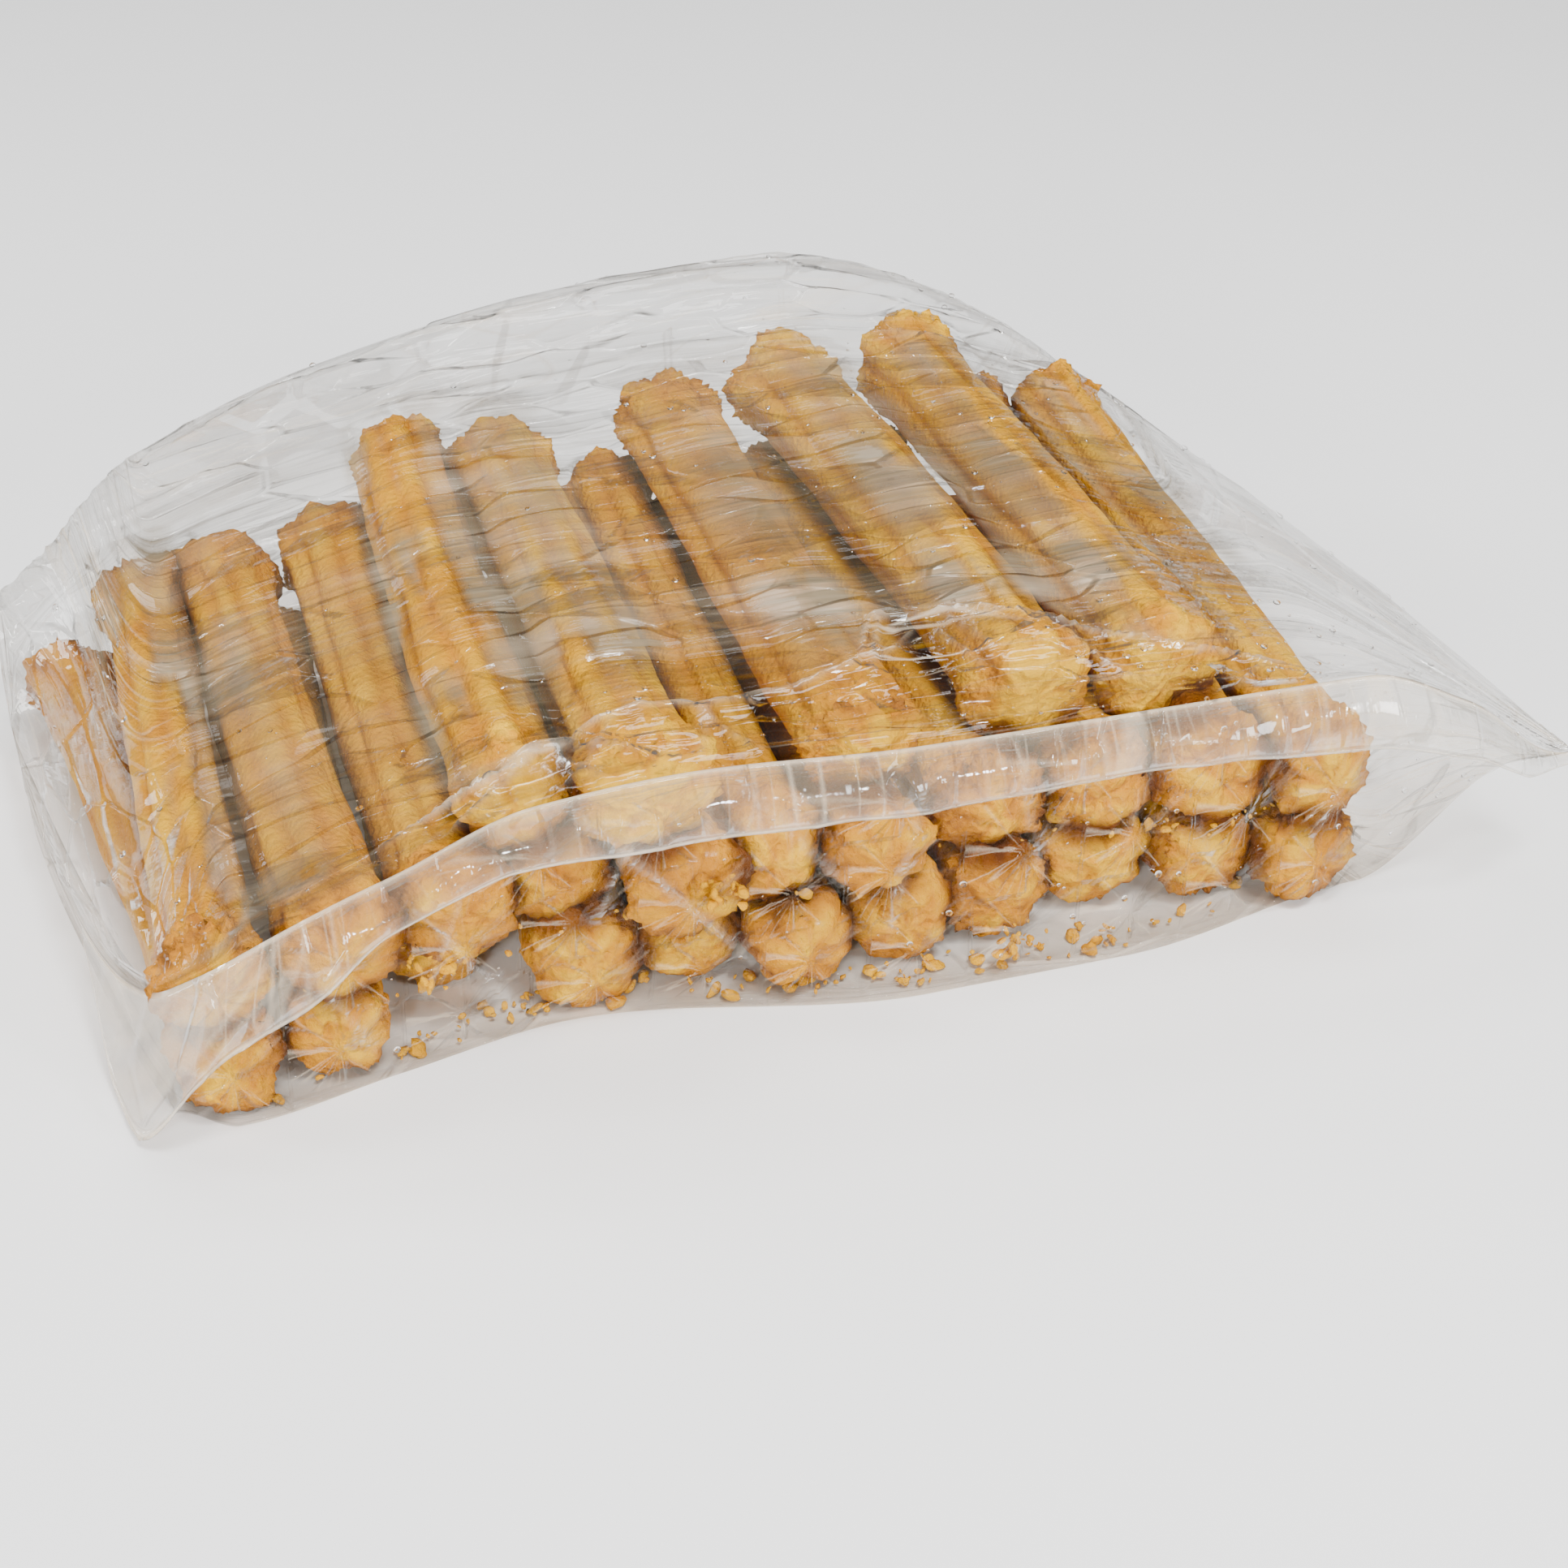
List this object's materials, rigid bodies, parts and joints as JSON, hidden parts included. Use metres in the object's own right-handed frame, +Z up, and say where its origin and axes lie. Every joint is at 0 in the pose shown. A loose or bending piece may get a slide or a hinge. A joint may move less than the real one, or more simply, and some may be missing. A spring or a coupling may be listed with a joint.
{
  "type": "sealed bag of churros",
  "caption": "Clear sealed plastic bag lying flat, packed with layers of ridged fried churros side by side; fin seal along the front, pointed ear on the right.",
  "frame": {"origin": "centre of the bounding box at floor level, under the middle of the bag", "axes": "+X to the right along the fin seal, towards the pointed ear; +Y from the front seal to the puffed back, along the churros; +Z up"},
  "size_m": [0.3384, 0.2456, 0.0803],
  "materials": {
    "film": "clear thin film over golden fried dough",
    "crust": "golden fried crust, slightly oily",
    "droplet": "clear water"
  },
  "bodies": {
    "root": {"bag": "film"}
  },
  "joints": []
}
